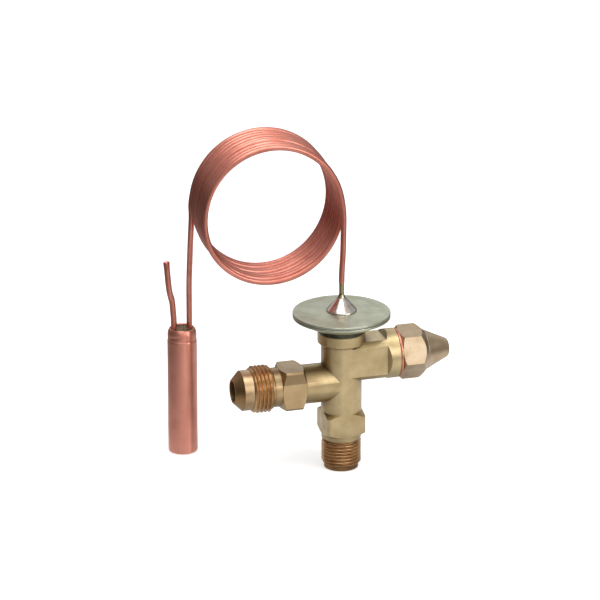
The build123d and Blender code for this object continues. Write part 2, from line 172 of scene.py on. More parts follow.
def drawn_copper(name, bright, dull, polish=0.0):
    """Copper tube, drawn and annealed: pink metal with soft browner patches where the air has
    got at it, faint draw lines and a satin skin. Polishing round the tube draws a highlight out
    along it."""
    material, shader, place = new_material(name)
    patches = add_node(material, "TexNoise", Vector=place, Scale=1 / (9 * mm), Detail=4,
                       Roughness=0.6).outputs["Fac"]
    patches = add_node(material, "MapRange", Value=patches, From_Min=0.38,
                       From_Max=0.68).outputs["Result"]
    colour = add_node(material, "MixRGB", Fac=patches, Color1=linear(bright),
                      Color2=linear(dull)).outputs["Color"]
    satin = add_node(material, "MapRange", Value=patches, To_Min=0.38,
                     To_Max=0.46).outputs["Result"]
    # scuffs a third of a millimetre wide
    scuffs = add_node(material, "TexNoise", Vector=place, Scale=1 / (0.35 * mm), Detail=3,
                      Roughness=0.55).outputs["Fac"]
    relief = add_node(material, "Bump", Height=scuffs, Strength=0.35, Distance=0.03 * mm)
    shader.inputs["Metallic"].default_value = 1
    shader.inputs["Coat Weight"].default_value = 0.5
    shader.inputs["Coat Roughness"].default_value = 0.28
    shader.inputs["Coat IOR"].default_value = 1.8
    if polish:
        shader.inputs["Anisotropic"].default_value = polish
        shader.inputs["Anisotropic Rotation"].default_value = 0.25
        lay = add_node(material, "Tangent", direction_type="RADIAL", axis="Z")
        connect(material, lay.outputs["Tangent"], shader.inputs["Tangent"])
    connect(material, colour, shader.inputs["Base Color"])
    connect(material, satin, shader.inputs["Roughness"])
    connect(material, relief.outputs["Normal"], shader.inputs["Normal"])
    return material


capillary_copper = drawn_copper("drawn_copper_tube", "#ED9681", "#D87D68")
capillary.data.materials.append(capillary_copper)
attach(capillary, "valve")
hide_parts("capillary_riser", "capillary_coil", "capillary_drop")

# ---- sensing bulb ---------------------------------------------------------------
# Copper can, 12 mm thick, that holds the charge and is strapped to the suction line. Its foot
# is rounded, a bead is rolled in near the top and the mouth is nosed in with a tool.
bulb_centre = (-56.6 * mm, 34.0 * mm)
bulb_radius = 6.0 * mm
bulb_bead = 48.2 * mm
bulb_top = 53.0 * mm
mouth_radius = 4.6 * mm


def softened(outline, cut, steps=5):
    """Outline of (radius, height) corners with each corner worn round: the corner gives way to a
    quadratic arc that starts and ends one cut from it, or less where its sides are short."""
    corners = np.array(outline, float)
    before = np.roll(corners, 1, axis=0) - corners
    after = np.roll(corners, -1, axis=0) - corners
    share_before = np.minimum(0.45, cut / np.linalg.norm(before, axis=1))[:, None]
    share_after = np.minimum(0.45, cut / np.linalg.norm(after, axis=1))[:, None]
    t = np.linspace(0, 1, steps)[None, :, None]
    start = (corners + before * share_before)[:, None, :]
    end = (corners + after * share_after)[:, None, :]
    arcs = (1 - t) ** 2 * start + 2 * t * (1 - t) * corners[:, None, :] + t ** 2 * end
    return arcs.reshape(-1, 2)


def turned(outline, segments=128, centre=(0, 0)):
    """Grid of a closed outline carried once round the Z axis: each (radius, height) becomes
    (radius cos a, radius sin a, height)."""
    radius, height = np.asarray(outline, float).T
    angle = np.linspace(0, 2 * pi, segments, endpoint=False)
    x = radius[:, None] * np.cos(angle) + centre[0]
    y = radius[:, None] * np.sin(angle) + centre[1]
    z = np.repeat(height[:, None], segments, axis=1)
    return np.stack([x, y, z], axis=-1)


def skin(name, grid, material, rows_join=True):
    """Mesh over a grid of points: one quad for each cell. The columns join up round the piece,
    and the rows join up too where the outline is closed."""
    rows, around = grid.shape[:2]
    index = np.arange(rows * around).reshape(rows, around)
    low = index if rows_join else index[:-1]
    high = np.roll(index, -1, axis=0) if rows_join else index[1:]
    quads = np.stack([low, np.roll(low, -1, axis=1), np.roll(high, -1, axis=1), high], axis=-1)
    mesh = bpy.data.meshes.new(name)
    mesh.from_pydata(grid.reshape(-1, 3).tolist(), [], quads.reshape(-1, 4).tolist())
    shell = bmesh.new()
    shell.from_mesh(mesh)
    bmesh.ops.remove_doubles(shell, verts=shell.verts, dist=0.002 * mm)
    shell.to_mesh(mesh)
    shell.free()
    piece = bpy.data.objects.new(name, mesh)
    bpy.context.collection.objects.link(piece)
    piece.data.materials.append(material)
    smooth_sides(piece)
    return piece


def smooth_sides(piece, sharp_angle=38):
    """Shades a piece smooth, with its sharper edges kept and its flats flat."""
    piece.data.shade_smooth()
    piece.data.set_sharp_from_angle(angle=radians(sharp_angle))
    weights = piece.modifiers.new("flats", "WEIGHTED_NORMAL")
    weights.keep_sharp = True


def bulb_surface():
    """The can's outline turned about its own axis, then pressed by the nosing tool: near the top
    the radius falls by a shallow groove that runs down to the left, and flats a few hundredths
    deep wander over the barrel."""
    outer, neck = bulb_radius, bulb_radius - 0.15 * mm
    profile = softened([
        (0, 0), (outer - 0.5 * mm, 0), (outer, 0.5 * mm), (outer, 12 * mm), (outer, 24 * mm),
        (outer, 36 * mm), (outer, bulb_bead - 0.3 * mm), (outer - 0.28 * mm, bulb_bead),
        (neck, bulb_bead + 0.35 * mm), (neck, bulb_top - 1.6 * mm),
        (mouth_radius + 0.5 * mm, bulb_top), (mouth_radius, bulb_top - 0.1 * mm),
        (mouth_radius - 0.1 * mm, bulb_top - 2 * mm), (0, bulb_top - 2 * mm)], 1.0 * mm, 7)
    grid = turned(profile)
    x, y, z = grid[..., 0], grid[..., 1], grid[..., 2]
    angle = np.arctan2(y, x)
    radius = np.hypot(x, y)
    barrel = np.clip((radius - 5.0 * mm) / (0.5 * mm), 0, 1)
    groove = np.exp(-((z - bulb_top + 3.3 * mm - 1.2 * mm * (angle + 2.4)) / (0.55 * mm)) ** 2
                    - ((angle + 2.4) / 0.55) ** 2)
    dents = (0.03 * mm * np.sin(3 * angle + z / (7 * mm)) * np.sin(z / (5.3 * mm))
             + 0.02 * mm * np.sin(5 * angle - z / (3.1 * mm)))
    pressed = radius - barrel * (0.35 * mm * groove + 0.05 * mm + dents)
    grid[..., 0] = bulb_centre[0] + pressed * np.cos(angle)
    grid[..., 1] = bulb_centre[1] + pressed * np.sin(angle)
    return grid


bulb_copper = drawn_copper("drawn_copper_can", "#F2A08A", "#EA967E", 0.75)
bulb = skin("bulb", bulb_surface(), bulb_copper, rows_join=False)
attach(bulb, "valve")
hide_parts("bulb_shell")

# ---- braze in the bulb's mouth --------------------------------------------------
# Silver braze run into the mouth round the two tubes. It sets as a lumpy pool that climbs a
# little up each tube, and its flux burns olive and brown.
capillary_port = (bulb_centre[0] + 3.1 * mm, bulb_centre[1])
fill_port = (bulb_centre[0] - 3.3 * mm, bulb_centre[1])


def braze_surface():
    """Round pool seen as a height over (radius, angle): it sags towards the middle, rises in a
    fillet round each tube and at the rim, and carries small lumps, then closes below."""
    radius = np.linspace(0, mouth_radius - 0.05 * mm, 22)[::-1]
    angle = np.linspace(0, 2 * pi, 96, endpoint=False)
    r, a = np.meshgrid(radius, angle, indexing="ij")
    x = bulb_centre[0] + r * np.cos(a)
    y = bulb_centre[1] + r * np.sin(a)
    height = bulb_top - 0.75 * mm + 0.3 * mm * (r / mouth_radius) ** 4
    for port, tube in ((capillary_port, 1.15 * mm), (fill_port, 1.2 * mm)):
        gap = np.hypot(x - port[0], y - port[1]) - tube
        height = height + 0.45 * mm * np.exp(-np.clip(gap, 0, None) / (0.5 * mm))
    height = height + 0.09 * mm * np.sin(x / (0.42 * mm)) * np.sin(y / (0.37 * mm) + 1)
    height = np.minimum(height, bulb_top - 0.08 * mm)
    top = np.stack([x, y, height], axis=-1)
    under = top[::-1].copy()
    under[..., 2] = bulb_top - 1.9 * mm
    return np.concatenate([under, top])


def burnt_braze():
    """Silver braze with burnt flux: dull gold metal under an uneven olive and near-black crust."""
    material, shader, place = new_material("silver_braze_burnt_flux")
    crust = add_node(material, "TexNoise", Vector=place, Scale=1 / (1.1 * mm), Detail=5,
                     Roughness=0.65).outputs["Fac"]
    crust = add_node(material, "MapRange", Value=crust, From_Min=0.42,
                     From_Max=0.6).outputs["Result"]
    colour = add_node(material, "MixRGB", Fac=crust, Color1=linear("#8C7850"),
                      Color2=linear("#2C2216")).outputs["Color"]
    metal = add_node(material, "MapRange", Value=crust, To_Min=0.9, To_Max=0.2).outputs["Result"]
    lumps = add_node(material, "TexNoise", Vector=place, Scale=1 / (0.3 * mm),
                     Detail=3).outputs["Fac"]
    relief = add_node(material, "Bump", Height=lumps, Strength=0.6, Distance=0.08 * mm)
    shader.inputs["Roughness"].default_value = 0.5
    connect(material, colour, shader.inputs["Base Color"])
    connect(material, metal, shader.inputs["Metallic"])
    connect(material, relief.outputs["Normal"], shader.inputs["Normal"])
    return material


braze = skin("bulb_mouth_braze", braze_surface(), burnt_braze())
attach(braze, "valve")
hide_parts("bulb_braze")

# ---- fill tube --------------------------------------------------------------------
# Short copper tube through which the bulb is charged. It is bent outwards, and its end is
# nipped flat and closed once the charge is in.
fill_route = [(-59.9, 34.0, 50.2), (-59.9, 34.0, 56.0), (-60.3, 34.0, 61.0), (-60.5, 34.0, 64.2),
              (-61.6, 34.0, 68.2), (-62.0, 34.0, 71.5), (-62.4, 34.0, 76.0), (-62.83, 34.0, 81.8)]
fill_kink = 15.6 * mm            # from its foot, where it was bent by hand
fill_radius = 1.2 * mm


def mesh_points(mesh):
    """A mesh's points as one array."""
    points = np.empty(len(mesh.vertices) * 3)
    mesh.vertices.foreach_get("co", points)
    return points.reshape(-1, 3)


def spline_line(points):
    """Places along the smooth spline that has these control points."""
    guide = spline_through("guide", points, 0)
    guide.data.use_fill_caps = False
    guide.data.splines[0].resolution_u = 12
    mesh = bpy.data.meshes.new_from_object(guide)
    line = mesh_points(mesh)
    bpy.data.meshes.remove(mesh)
    bpy.data.objects.remove(guide)
    return line


def fill_tube_surface():
    """Circle carried along the spline. Over the last 4 mm it is squeezed across the front and
    spreads sideways: depth falls to two thirds and width grows by an eighth, and the very end
    rounds off to a thin closed lip. The same squeeze, weaker, sits where it was bent by hand."""
    line = spline_line(metres(fill_route))
    steps = np.linalg.norm(np.diff(line, axis=0), axis=1)
    along = np.concatenate([[0], np.cumsum(steps)])
    even = np.linspace(0, along[-1], 90)
    line = np.stack([np.interp(even, along, line[:, axis]) for axis in range(3)], axis=-1)
    tangent = np.gradient(line, axis=0)
    tangent /= np.linalg.norm(tangent, axis=1, keepdims=True)
    depth = np.array([0.0, 1.0, 0.0])
    side = np.cross(tangent, depth)
    side /= np.linalg.norm(side, axis=1, keepdims=True)
    left = even[-1] - even
    nip = np.clip(1 - left / (4 * mm), 0, 1)
    nip = nip * nip * (3 - 2 * nip)
    close = np.sqrt(np.clip(left / (0.5 * mm), 0.02, 1))
    kink = np.exp(-((even - fill_kink) / (1.3 * mm)) ** 2)
    wide = fill_radius * (1 + 0.12 * nip + 0.06 * kink) * close
    deep = fill_radius * (1 - 0.36 * nip - 0.16 * kink) * close
    angle = np.linspace(0, 2 * pi, 32, endpoint=False)
    ring = (wide[:, None, None] * side[:, None, :] * np.cos(angle)[None, :, None]
            + deep[:, None, None] * depth[None, None, :] * np.sin(angle)[None, :, None])
    tube = line[:, None, :] + ring
    cap_low = np.repeat(line[:1, None, :], 32, axis=1)
    cap_high = np.repeat(line[-1:, None, :], 32, axis=1)
    return np.concatenate([cap_low, tube, cap_high])[:, ::-1]


fill_tube = skin("fill_tube_nipped", fill_tube_surface(), capillary_copper, rows_join=False)
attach(fill_tube, "valve")
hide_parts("fill_tube")

# ---- forged body --------------------------------------------------------------------
# Hot-forged brass, tumbled and bright dipped to an even satin, with its squares, collars and
# flare ends turned on a lathe. The corners of the squares are chamfered by the same tool.
flare_pitch_in = 25.4 / 18 * mm
flare_pitch_out = 25.4 / 16 * mm
outlet_height = 36.6 * mm
adjuster_height = 46.1 * mm
inlet_crest, outlet_crest, spigot_crest = 7.9375 * mm, 9.525 * mm, 7.5 * mm
inlet_thread = (0.0, 12.1 * mm)
outlet_thread = (30.0 * mm, 38.0 * mm)
spigot_thread = (23.6 * mm, 29.9 * mm)
spigot_pitch = 1.0 * mm
outlet_square = (-26.2 * mm, -16.0 * mm)
square_flat = 8.0 * mm
parting_height = outlet_height + 3.2 * mm     # of the two dies, on the outlet square
parting_lean = 0.1
pilot_start, nose_start = -37.9 * mm, -41.95 * mm


def thread_depth(pitch):
    """Depth of a 60 degree thread with a rounded root."""
    return 0.6134 * pitch


def satin_brass(name, light, dark, grain):
    """Forged brass, tumbled and dipped: tan metal, a little greener and browner in patches, with
    a fine pebbled grain that spreads the light. It is redder towards the outlet. The outlet arm's
    upper side and the corners are darkened brown as painted shade."""
    material, shader, place = new_material(name)
    patches = add_node(material, "TexNoise", Vector=place, Scale=1 / (7 * mm), Detail=5,
                       Roughness=0.6).outputs["Fac"]
    patches = add_node(material, "MapRange", Value=patches, From_Min=0.36,
                       From_Max=0.7).outputs["Result"]
    colour = add_node(material, "MixRGB", Fac=patches, Color1=linear(light),
                      Color2=linear(dark)).outputs["Color"]
    across = add_node(material, "SeparateXYZ", Vector=place).outputs
    outwards = add_node(material, "MapRange", Value=across["X"], From_Min=-6 * mm,
                        From_Max=-24 * mm, To_Max=0.5).outputs["Result"]
    colour = add_node(material, "MixRGB", Fac=outwards, Color1=colour,
                      Color2=linear("#C49A6C")).outputs["Color"]
    # painted shade: above the dies' parting line the outlet arm's upper side is darkened brown,
    # fading in from 9 to 15 mm out along the arm
    above = add_node(material, "MapRange", Value=across["Z"], From_Min=parting_height - 0.1 * mm,
                     From_Max=parting_height + 0.1 * mm).outputs["Result"]
    painted_upper_shade = add_node(material, "MapRange", Value=across["X"], From_Min=-9 * mm,
                     From_Max=-15 * mm, To_Max=0.5).outputs["Result"]
    painted_upper_shade = add_node(material, "MixRGB", blend_type="MULTIPLY", Fac=1.0, Color1=above,
                     Color2=painted_upper_shade).outputs["Color"]
    colour = add_node(material, "MixRGB", Fac=painted_upper_shade, Color1=colour,
                      Color2=linear("#6A5232")).outputs["Color"]
    # painted shade: ambient occlusion darkens the corners and creases towards brown, for the shade
    # that falls there
    corners = add_node(material, "AmbientOcclusion", samples=8, only_local=True,
                       Distance=7 * mm).outputs["AO"]
    painted_corner_shade = add_node(material, "MapRange", Value=corners, From_Min=0.92,
                       From_Max=0.5).outputs["Result"]
    colour = add_node(material, "MixRGB", Fac=painted_corner_shade, Color1=colour,
                      Color2=linear("#5A4524")).outputs["Color"]
    satin = add_node(material, "MapRange", Value=patches, To_Min=0.33,
                     To_Max=0.45).outputs["Result"]
    pebbles = add_node(material, "TexNoise", Vector=place, Scale=1 / grain, Detail=4,
                       Roughness=0.6).outputs["Fac"]
    relief = add_node(material, "Bump", Height=pebbles, Strength=0.45, Distance=0.05 * mm)
    shader.inputs["Metallic"].default_value = 1
    shader.inputs["Coat Weight"].default_value = 0.4
    shader.inputs["Coat Roughness"].default_value = 0.3
    shader.inputs["Coat IOR"].default_value = 1.7
    connect(material, colour, shader.inputs["Base Color"])
    connect(material, satin, shader.inputs["Roughness"])
    connect(material, relief.outputs["Normal"], shader.inputs["Normal"])
    return material


def turned_brass(name, light, dark, direction, feed):
    """Brass turned on a lathe: smoother and yellower than the forging, with tool marks that run
    round it. The marks are drawn wider than the real feed, so that they show."""
    material, shader, place = new_material(name)
    patches = add_node(material, "TexNoise", Vector=place, Scale=1 / (5 * mm), Detail=4,
                       Roughness=0.6).outputs["Fac"]
    patches = add_node(material, "MapRange", Value=patches, From_Min=0.38,
                       From_Max=0.68).outputs["Result"]
    colour = add_node(material, "MixRGB", Fac=patches, Color1=linear(light),
                      Color2=linear(dark)).outputs["Color"]
    # a wave repeats every pi / 10 of its scaled length
    marks = add_node(material, "TexWave", wave_type="BANDS", bands_direction=direction,
                     Vector=place, Scale=pi / 10 / feed, Distortion=0.4,
                     Detail=2).outputs["Fac"]
    relief = add_node(material, "Bump", Height=marks, Strength=0.3, Distance=0.012 * mm)
    satin = add_node(material, "MapRange", Value=marks, To_Min=0.34, To_Max=0.42)
    shader.inputs["Metallic"].default_value = 1
    shader.inputs["Coat Weight"].default_value = 0.4
    shader.inputs["Coat Roughness"].default_value = 0.3
    shader.inputs["Coat IOR"].default_value = 1.7
    connect(material, colour, shader.inputs["Base Color"])
    connect(material, satin.outputs["Result"], shader.inputs["Roughness"])
    connect(material, relief.outputs["Normal"], shader.inputs["Normal"])
    return material


def merged(mesh):
    """A mesh opened for work, with its loose triangles joined and flat runs made single faces."""
    shell = bmesh.new()
    shell.from_mesh(mesh)
    bmesh.ops.remove_doubles(shell, verts=shell.verts, dist=0.003 * mm)
    bmesh.ops.dissolve_limit(shell, angle_limit=radians(1), verts=shell.verts, edges=shell.edges)
    return shell


def worn_copy(name, mesh, material, wear):
    """A piece from a copied mesh, with its edges worn round by a small bevel."""
    shell = merged(mesh)
    shell.to_mesh(mesh)
    shell.free()
    mesh.materials.clear()
    mesh.materials.append(material)
    piece = bpy.data.objects.new(name, mesh)
    bpy.context.collection.objects.link(piece)
    edges = piece.modifiers.new("worn_edges", "BEVEL")
    edges.width = wear
    edges.segments = 3
    edges.limit_method = "ANGLE"
    edges.angle_limit = radians(24)
    edges.use_clamp_overlap = True
    smooth_sides(piece, 50)
    return piece


def sink(points, axis_height, along, span, root):
    """Pulls the points of a plain crest cylinder in to the root radius over a span of its arm:
    each point keeps its angle, and its distance from the arm's axis is held at the root."""
    across = [axis for axis in range(3) if axis != along]
    centre = np.array([0.0, 0.0, axis_height])[across]
    offset = points[:, across] - centre
    radius = np.linalg.norm(offset, axis=1)
    reach = np.abs(points[:, along])
    inside = (reach > span[0]) & (reach < span[1]) & (radius > root)
    points[inside[:, None] & np.isin(np.arange(3), across)] = (
        centre + offset[inside] * (root / radius[inside])[:, None]).ravel()


def forging_draft(mesh, span, flat, parting, lean):
    """Leans a square's front and back flats above the dies' parting line: a point that stands h
    over the line, on a flat, moves in by h times the lean."""
    shell = merged(mesh)
    on_flat = [face for face in shell.faces if abs(face.normal.y) > 0.98
               and span[0] < face.calc_center_median().x < span[1]
               and abs(abs(face.calc_center_median().y) - flat) < 0.1 * mm]
    parts = list(set(on_flat) | {edge for face in on_flat for edge in face.edges}
                 | {corner for face in on_flat for corner in face.verts})
    bmesh.ops.bisect_plane(shell, geom=parts, dist=0.002 * mm, plane_co=(0, 0, parting),
                           plane_no=(0, 0, 1))
    shell.to_mesh(mesh)
    shell.free()
    points = mesh_points(mesh)
    x, y, z = points.T
    leaning = ((x > span[0]) & (x < span[1]) & (z > parting)
               & (np.abs(np.abs(y) - flat) < 0.02 * mm))
    points[:, 1] -= np.where(leaning, np.sign(y) * lean * (z - parting), 0)
    mesh.vertices.foreach_set("co", points.ravel())


body_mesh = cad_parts["valve_body"].data.copy()
body_points = mesh_points(body_mesh)
sink(body_points, 0, 2, (-0.1 * mm, 11.85 * mm), inlet_crest - thread_depth(flare_pitch_in))
on_outlet = body_points[:, 0] < 0
for side, height, span, root in (
        (on_outlet, outlet_height, (30.1 * mm, 37.95 * mm),
         outlet_crest - thread_depth(flare_pitch_out)),
        (~on_outlet, adjuster_height, (23.0 * mm, 29.85 * mm),
         spigot_crest - thread_depth(spigot_pitch))):
    side_points = body_points[side]
    sink(side_points, height, 0, span, root)
    body_points[side] = side_points
body_mesh.vertices.foreach_set("co", body_points.ravel())
forging_draft(body_mesh, outlet_square, square_flat, parting_height, parting_lean)

forged = satin_brass("forged_brass_dipped", "#DAC394", "#C3A977", 0.28 * mm)
body = worn_copy("forged_body", body_mesh, forged, 0.22 * mm)
for edge in body_mesh.edges:
    ends = [body_mesh.vertices[end].co for end in edge.vertices]
    if all(abs(end.z - parting_height) < 0.01 * mm and end.x < outlet_square[1]
           and abs(end.y) > square_flat - 0.1 * mm for end in ends):
        edge.use_edge_sharp = True
# The pilot ring's brass is lighter than the nose's. It is burnished by the flare nut, and it is
# lightened further as a painted highlight for the bright band the lamps put on it.
body_mesh.materials.append(turned_brass("burnished_pilot_brass_painted_highlight", "#CFB088", "#B8966A", "X", 0.4 * mm))
body_mesh.materials.append(turned_brass("turned_flare_brass", "#A37C4A", "#8F6C3E", "X", 0.4 * mm))
for face in body_mesh.polygons:
    face.material_index = int(face.center.x < pilot_start) + int(face.center.x < nose_start)
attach(body, "valve")
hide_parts("valve_body")

# ---- threads on the body ------------------------------------------------------------
# Rolled 60 degree threads, right handed: 18 to the inch on the inlet, 16 on the outlet and a
# 1 mm pitch under the seal cap. Crests and roots are rounded, and each thread starts on the
# flare's cone or a chamfer.


def thread_surface(span, pitch, crest, envelope, segments=144, steps=14):
    """Height over (angle, length): the crest follows length = pitch x turns, flanks fall at 60
    degrees to a rounded root, and an envelope of (length, radius) trims both ends. The shell
    then closes inwards to a plain bore just under the root."""
    start, end = span
    rows = int(round((end - start) / pitch * steps)) + 1
    length = np.linspace(start, end, rows)
    angle = np.linspace(0, 2 * pi, segments, endpoint=False)
    turns = length[:, None] / pitch - angle[None, :] / (2 * pi)
    from_crest = np.abs(turns - np.round(turns)) * 2
    fall = np.clip((from_crest - 0.12) / 0.76, 0, 1)
    fall = 0.6 * fall + 0.4 * fall * fall * (3 - 2 * fall)
    radius = crest - thread_depth(pitch) * fall
    radius = np.minimum(radius, np.interp(length, *np.array(envelope).T)[:, None])
    bore = crest - thread_depth(pitch) - 0.25 * mm
    radius = np.concatenate([np.full((1, segments), bore), np.maximum(radius, bore),
                             np.full((1, segments), bore)])
    length = np.concatenate([length[:1], length, length[-1:]])
    return np.stack([radius * np.cos(angle), radius * np.sin(angle),
                     np.repeat(length[:, None], segments, axis=1)], axis=-1)


def onto_adjuster(grid):
    """Turns a shape made about Z onto the adjusting arm, pointing along +X."""
    x, y, z = np.moveaxis(grid, -1, 0)
    return np.stack([z, y, adjuster_height - x], axis=-1)


def onto_outlet(grid):
    """Turns a shape made about Z onto the outlet arm, pointing along -X."""
    x, y, z = np.moveaxis(grid, -1, 0)
    return np.stack([-z, y, outlet_height + x], axis=-1)


thread_brass = turned_brass("rolled_thread_brass", "#D4AA79", "#AF8453", "Z", 0.3 * mm)
inlet_envelope = [(0, 5.2 * mm), (2.76 * mm, 7.96 * mm), (11.7 * mm, 7.96 * mm),
                  (12.1 * mm, 6.9 * mm)]
inlet = skin("inlet_thread", thread_surface(inlet_thread, flare_pitch_in, inlet_crest,
                                            inlet_envelope), thread_brass)
outlet_envelope = [(30.0 * mm, 8.4 * mm), (30.7 * mm, 9.53 * mm), (36.9 * mm, 9.53 * mm),
                   (38.0 * mm, 8.5 * mm)]
outlet = skin("outlet_thread", onto_outlet(thread_surface(
    outlet_thread, flare_pitch_out, outlet_crest, outlet_envelope)), thread_brass)
spigot_envelope = [(23.6 * mm, 6.8 * mm), (24.3 * mm, 7.5 * mm), (29.2 * mm, 7.5 * mm),
                   (29.8 * mm, 6.8 * mm)]
spigot = skin("spigot_thread", onto_adjuster(thread_surface(
    spigot_thread, spigot_pitch, spigot_crest, spigot_envelope)), thread_brass)
for thread in (inlet, outlet, spigot):
    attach(thread, "valve")

# ---- diaphragm head -----------------------------------------------------------------
# Two pressed stainless covers, welded at the rim with the diaphragm between them. They stand
# on a turned steel sleeve, which the weld has blackened, pressed into the body's neck.
sleeve_floor, sleeve_top = 53.0 * mm, 60.0 * mm
rim_radius = 19.5 * mm
rim_bottom, seam_height, rim_top = 63.7 * mm, 64.82 * mm, 65.8 * mm
crown_top = 66.35 * mm


def pressed_stainless(name, light, dark):
    """Stainless sheet, pressed and left matt: cool grey with a green cast, lightly clouded."""
    material, shader, place = new_material(name)
    clouds = add_node(material, "TexNoise", Vector=place, Scale=1 / (6 * mm), Detail=4,
                      Roughness=0.55).outputs["Fac"]
    clouds = add_node(material, "MapRange", Value=clouds, From_Min=0.35,
                      From_Max=0.7).outputs["Result"]
    colour = add_node(material, "MixRGB", Fac=clouds, Color1=linear(light),
                      Color2=linear(dark)).outputs["Color"]
    satin = add_node(material, "MapRange", Value=clouds, To_Min=0.36,
                     To_Max=0.46).outputs["Result"]
    grain = add_node(material, "TexNoise", Vector=place, Scale=1 / (0.15 * mm),
                     Detail=2).outputs["Fac"]
    relief = add_node(material, "Bump", Height=grain, Strength=0.25, Distance=0.02 * mm)
    shader.inputs["Metallic"].default_value = 1
    connect(material, colour, shader.inputs["Base Color"])
    connect(material, satin, shader.inputs["Roughness"])
    connect(material, relief.outputs["Normal"], shader.inputs["Normal"])
    return material


stainless = pressed_stainless("pressed_stainless", "#C8CAB6", "#B6B8A2")
upper_outline = softened([
    (1.5 * mm, 65.4 * mm), (15.0 * mm, 65.3 * mm), (16.2 * mm, seam_height + 0.08 * mm),
    (rim_radius, seam_height + 0.08 * mm), (rim_radius, rim_top), (18.5 * mm, rim_top + 0.06 * mm),
    (18.1 * mm, rim_top), (14.0 * mm, crown_top - 0.12 * mm), (8.0 * mm, crown_top),
    (1.5 * mm, crown_top)], 0.3 * mm)
upper_cover = skin("head_upper_cover_pressed", turned(upper_outline, 192), stainless)
lower_outline = softened([
    (6.0 * mm, sleeve_top), (10.2 * mm, sleeve_top), (14.6 * mm, 61.25 * mm),
    (17.4 * mm, rim_bottom), (rim_radius, rim_bottom), (rim_radius, seam_height - 0.1 * mm),
    (16.8 * mm, seam_height - 0.1 * mm), (14.0 * mm, 62.3 * mm), (10.0 * mm, 61.0 * mm),
    (6.0 * mm, 61.0 * mm)], 0.35 * mm)
lower_cover = skin("head_lower_cover_pressed", turned(lower_outline, 192), stainless)
for cover, node in ((upper_cover, "head_upper_cover"), (lower_cover, "head_lower_cover")):
    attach(cover, "valve")
    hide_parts(node)

blackened = pressed_stainless("weld_blackened_steel", "#6E6F5F", "#3A3A30")
sleeve_outline = softened([
    (4.8 * mm, sleeve_floor), (6.96 * mm, sleeve_floor), (6.96 * mm, 57.7 * mm),
    (9.5 * mm, 57.7 * mm), (9.5 * mm, sleeve_top), (6.0 * mm, sleeve_top),
    (6.0 * mm, 61.0 * mm), (4.8 * mm, 61.0 * mm)], 0.2 * mm)
sleeve = skin("head_sleeve_turned", turned(sleeve_outline, 144), blackened)
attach(sleeve, "valve")
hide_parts("head_sleeve")

# ---- nozzle on the head ----------------------------------------------------------------
# Turned brass cone, brazed over the charging hole, with a nipple that takes the capillary.
# The braze's heat has bleached it to a pinkish grey.


def bleached_brass():
    """Brass bleached pinkish by flux and heat on the cone, where it carries browner streaks. The
    nipple, further from the braze, has kept its yellow."""
    material, shader, place = new_material("bleached_turned_brass")
    streaks = add_node(material, "TexNoise", Vector=place, Scale=1 / (3 * mm), Detail=4,
                       Roughness=0.6).outputs["Fac"]
    streaks = add_node(material, "MapRange", Value=streaks, From_Min=0.4,
                       From_Max=0.75).outputs["Result"]
    cone = add_node(material, "MixRGB", Fac=streaks, Color1=linear("#ECE4DE"),
                    Color2=linear("#C0A490")).outputs["Color"]
    height = add_node(material, "SeparateXYZ", Vector=place).outputs["Z"]
    nipple = add_node(material, "MapRange", Value=height, From_Min=71.2 * mm,
                      From_Max=73.2 * mm).outputs["Result"]
    colour = add_node(material, "MixRGB", Fac=nipple, Color1=cone,
                      Color2=linear("#B4AC84")).outputs["Color"]
    marks = add_node(material, "TexNoise", Vector=place, Scale=1 / (0.25 * mm),
                     Detail=2).outputs["Fac"]
    relief = add_node(material, "Bump", Height=marks, Strength=0.2, Distance=0.02 * mm)
    shader.inputs["Metallic"].default_value = 1
    shader.inputs["Roughness"].default_value = 0.24
    connect(material, colour, shader.inputs["Base Color"])
    connect(material, relief.outputs["Normal"], shader.inputs["Normal"])
    return material


nozzle_outline = softened([
    (0.5 * mm, crown_top), (6.15 * mm, crown_top), (6.15 * mm, crown_top + 0.35 * mm),
    (1.5 * mm, 71.9 * mm), (1.0 * mm, 73.3 * mm), (1.0 * mm, nipple_top),
    (0.5 * mm, nipple_top)], 0.5 * mm)
nozzle = skin("head_nozzle_turned", turned(nozzle_outline, 96), bleached_brass())
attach(nozzle, "valve")
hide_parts("head_nozzle")

# ---- seal cap and its washer --------------------------------------------------------------
# Cap nut turned from hexagon bar, with a cone on its end. It keeps dirt and leaks out of the
# adjusting spindle, and a soft copper washer seals it on the arm's collar.
cap_brass = turned_brass("turned_cap_brass", "#CEB698", "#B69C74", "X", 0.35 * mm)
cone_start, hollow_end, hollow_radius = 34.3 * mm, 37.0 * mm, 4.2 * mm
cap_end = 44.3 * mm


def without_cone(mesh):
    """Takes the outside of the cone off a copied cap mesh, and leaves the hollow under it."""
    shell = bmesh.new()
    shell.from_mesh(mesh)
    outside = []
    for face in shell.faces:
        middle = face.calc_center_median()
        radius = hypot(middle.y, middle.z - adjuster_height)
        if middle.x > hollow_end + 1 * mm or (
                middle.x > cone_start + 0.05 * mm and radius > hollow_radius + 0.2 * mm):
            outside.append(face)
    bmesh.ops.delete(shell, geom=outside, context="FACES")
    shell.to_mesh(mesh)
    shell.free()
    return mesh


cap = worn_copy("seal_cap_turned", without_cone(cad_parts["seal_cap"].data.copy()),
                cap_brass, 0.18 * mm)
cone_outline = softened([
    (7.8 * mm, cone_start - 0.1 * mm), (8.2 * mm, cone_start), (3.75 * mm, cap_end - 0.4 * mm),
    (3.25 * mm, cap_end), (0.2 * mm, cap_end), (0.2 * mm, cap_end - 0.5 * mm)], 0.25 * mm)
cap_cone = skin("cap_cone_turned", onto_adjuster(turned(cone_outline, 144)), cap_brass)
for piece in (cap, cap_cone):
    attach(piece, "cap")
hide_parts("seal_cap")


